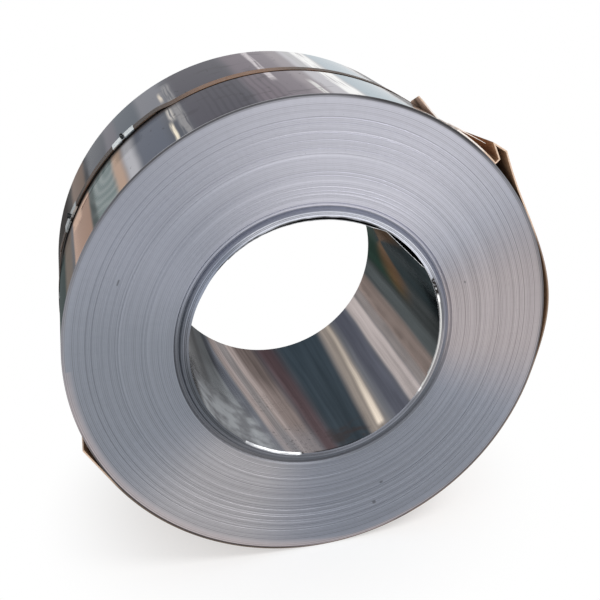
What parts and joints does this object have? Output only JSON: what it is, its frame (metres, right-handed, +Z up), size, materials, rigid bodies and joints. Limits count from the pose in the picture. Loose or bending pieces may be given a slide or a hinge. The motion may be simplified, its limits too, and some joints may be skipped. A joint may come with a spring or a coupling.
{
  "type": "steel coil",
  "caption": "Wound coil of bright steel strip standing on its rim, held by a steel strap with crimped seals and wrapped in cardboard underneath.",
  "frame": {"origin": "middle of the bore, half-way along the strip's width", "axes": "+Y along the bore, away from the end that the picture shows; +Z up; +X to the right seen from that end"},
  "size_m": [0.9831, 0.508, 0.9745],
  "materials": {
    "strip_steel": "bright cold-rolled strip, satin on its edges",
    "strap_steel": "browned, semi-matt",
    "seal_zinc": "zinc-coated, dull",
    "kraft_board": "matt kraft"
  },
  "bodies": {
    "root": {"coil": "strip_steel", "strap": "strap_steel", "seal_upper": "seal_zinc", "seal_lower": "seal_zinc", "cardboard_wrap": "kraft_board"}
  },
  "joints": []
}
